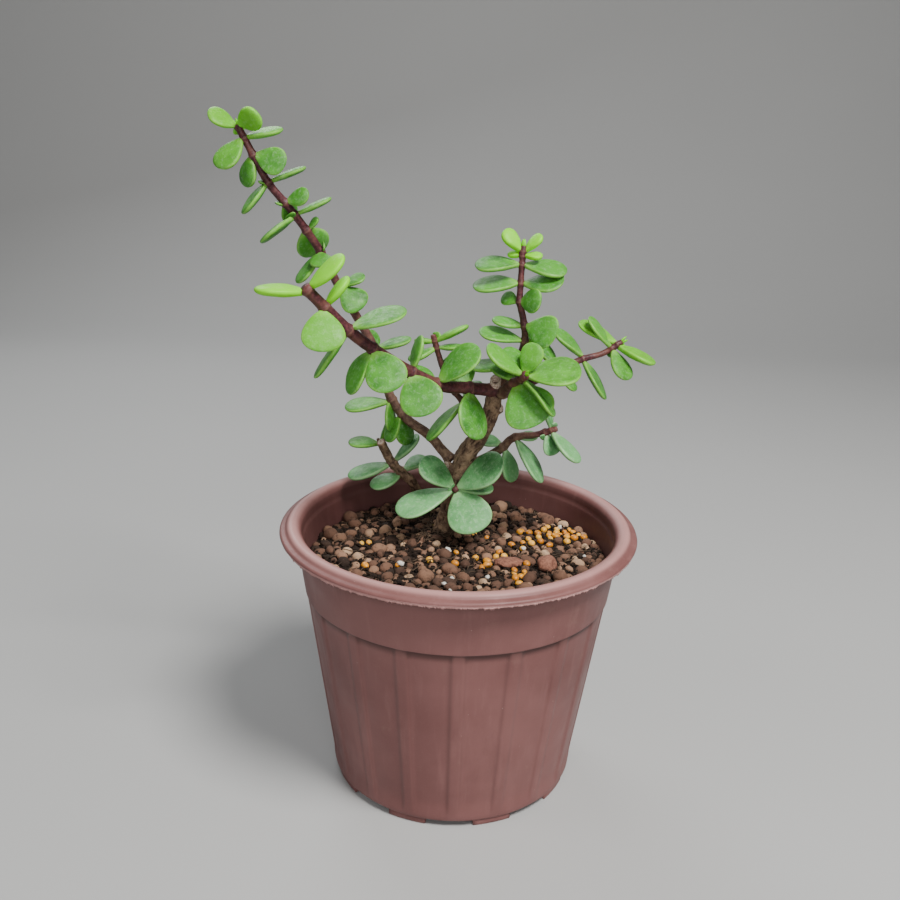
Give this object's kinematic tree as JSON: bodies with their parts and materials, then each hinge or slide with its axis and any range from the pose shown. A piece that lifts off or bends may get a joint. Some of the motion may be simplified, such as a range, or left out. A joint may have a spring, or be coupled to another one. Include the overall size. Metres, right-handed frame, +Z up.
{
  "type": "potted elephant bush",
  "caption": "Small branching elephant bush with fleshy leaves in opposite pairs, growing in granular soil in a fluted plastic nursery pot.",
  "frame": {"origin": "on the pot's axis, on the surface that the pot stands on", "axes": "+Z up along the pot's axis; the plant's show side faces -Y, and its long shoot leans towards -X"},
  "size_m": [0.1575, 0.13, 0.2408],
  "materials": {
    "pot_plastic": "semi-matte moulded, dusty mauve pink",
    "soil_mix": "loose granular mix, matte",
    "root": "matte fibrous",
    "bark": "matte, cracked, grey brown",
    "red_stem": "satin, maroon",
    "young_leaf": "waxy satin, fleshy",
    "old_leaf": "waxy satin with a greyish bloom"
  },
  "bodies": {
    "root": {"centre_shoot": "red_stem", "front_spur": "red_stem", "leaves_centre_shoot_1": "young_leaf", "leaves_centre_shoot_2": "young_leaf", "leaves_centre_shoot_3": "young_leaf", "leaves_centre_shoot_4": "young_leaf", "leaves_centre_shoot_5": "young_leaf", "leaves_centre_shoot_6": "young_leaf", "leaves_centre_shoot_7": "young_leaf", "leaves_centre_shoot_8": "young_leaf", "leaves_front_spur_1": "old_leaf", "leaves_left_limb_1": "young_leaf", "leaves_left_limb_2": "young_leaf", "leaves_left_limb_3": "young_leaf", "leaves_left_limb_4": "young_leaf", "leaves_left_limb_5": "young_leaf", "leaves_left_limb_6": "young_leaf", "leaves_left_limb_7": "young_leaf", "leaves_long_shoot_1": "young_leaf", "leaves_long_shoot_10": "young_leaf", "leaves_long_shoot_11": "young_leaf", "leaves_long_shoot_12": "young_leaf", "leaves_long_shoot_2": "young_leaf", "leaves_long_shoot_3": "young_leaf", "leaves_long_shoot_4": "young_leaf", "leaves_long_shoot_5": "young_leaf", "leaves_long_shoot_6": "young_leaf", "leaves_long_shoot_7": "young_leaf", "leaves_long_shoot_8": "young_leaf", "leaves_long_shoot_9": "young_leaf", "leaves_lower_right_branch_1": "old_leaf", "leaves_lower_right_branch_2": "old_leaf", "leaves_lower_right_branch_3": "old_leaf", "leaves_lower_right_branch_4": "old_leaf", "leaves_mid_twig_1": "young_leaf", "leaves_mid_twig_2": "young_leaf", "leaves_mid_twig_3": "young_leaf", "leaves_right_shoot_1": "young_leaf", "leaves_right_shoot_2": "young_leaf", "leaves_right_shoot_3": "young_leaf", "leaves_right_shoot_4": "young_leaf", "leaves_right_shoot_5": "young_leaf", "leaves_rosette_twig_1": "young_leaf", "leaves_rosette_twig_2": "young_leaf", "leaves_rosette_twig_3": "young_leaf", "leaves_small_twig_1": "young_leaf", "leaves_sucker_1": "old_leaf", "leaves_sucker_2": "old_leaf", "left_limb": "red_stem", "long_shoot": "red_stem", "lower_right_branch": "red_stem", "mid_twig": "red_stem", "pot": "pot_plastic", "right_shoot": "red_stem", "roots": "root", "rosette_twig": "red_stem", "small_twig": "red_stem", "soil": "soil_mix", "sucker": "bark", "trunk": "bark"}
  },
  "joints": []
}
